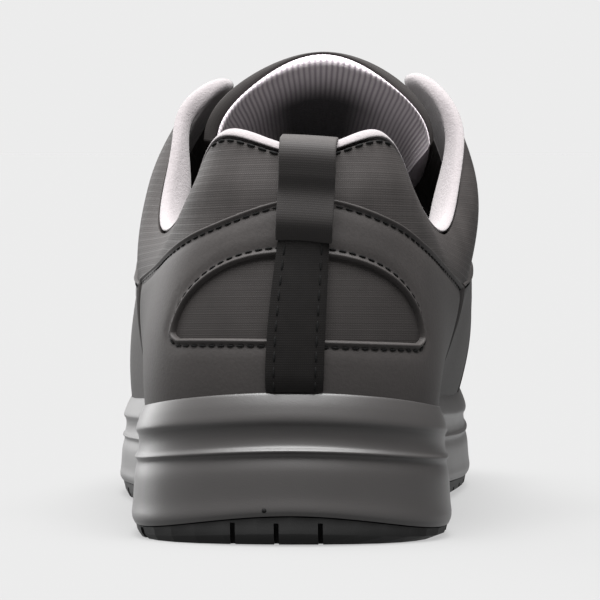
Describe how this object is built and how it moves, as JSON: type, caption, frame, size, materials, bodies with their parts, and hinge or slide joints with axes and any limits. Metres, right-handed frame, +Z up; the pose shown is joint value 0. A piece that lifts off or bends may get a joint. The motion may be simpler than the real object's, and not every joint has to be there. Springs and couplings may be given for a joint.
{
  "type": "safety shoe",
  "caption": "Low safety work shoe for the left foot with a hollow fabric upper, coated overlays, padded collar, heel pull loop, laces and a stepped cup sole with a lugged outsole.",
  "frame": {"origin": "centre of the shoe's box on the floor plane it stands on", "axes": "+X towards the inner side of the left foot, +Y from heel to toe, +Z up"},
  "size_m": [0.1064, 0.3, 0.1302],
  "materials": {
    "outsole_rubber": "matt black rubber",
    "midsole_foam": "satin dark grey moulded foam",
    "insole_fabric": "black fabric-topped footbed",
    "upper_ripstop": "black ripstop weave",
    "collar_lining": "light grey soft padded lining",
    "overlay_film": "black coated film, fine grain, low gloss",
    "webbing": "black woven tape",
    "lace_cord": "black braided cord",
    "eyelet_plastic": "black satin ring"
  },
  "bodies": {
    "root": {"outsole": "outsole_rubber", "midsole": "midsole_foam", "insole": "insole_fabric", "upper": "upper_ripstop", "tongue": "upper_ripstop", "collar_cuff": "collar_lining", "heel_counter": "overlay_film", "side_panel_outer": "overlay_film", "side_panel_inner": "overlay_film", "toe_cap": "overlay_film", "eyestay": "overlay_film", "heel_strip": "webbing", "pull_loop": "webbing", "laces": "lace_cord", "eyelet_outer_1": "eyelet_plastic", "eyelet_inner_1": "eyelet_plastic", "eyelet_outer_2": "eyelet_plastic", "eyelet_inner_2": "eyelet_plastic", "eyelet_outer_3": "eyelet_plastic", "eyelet_inner_3": "eyelet_plastic", "eyelet_outer_4": "eyelet_plastic", "eyelet_inner_4": "eyelet_plastic", "eyelet_outer_5": "eyelet_plastic", "eyelet_inner_5": "eyelet_plastic"}
  },
  "joints": []
}
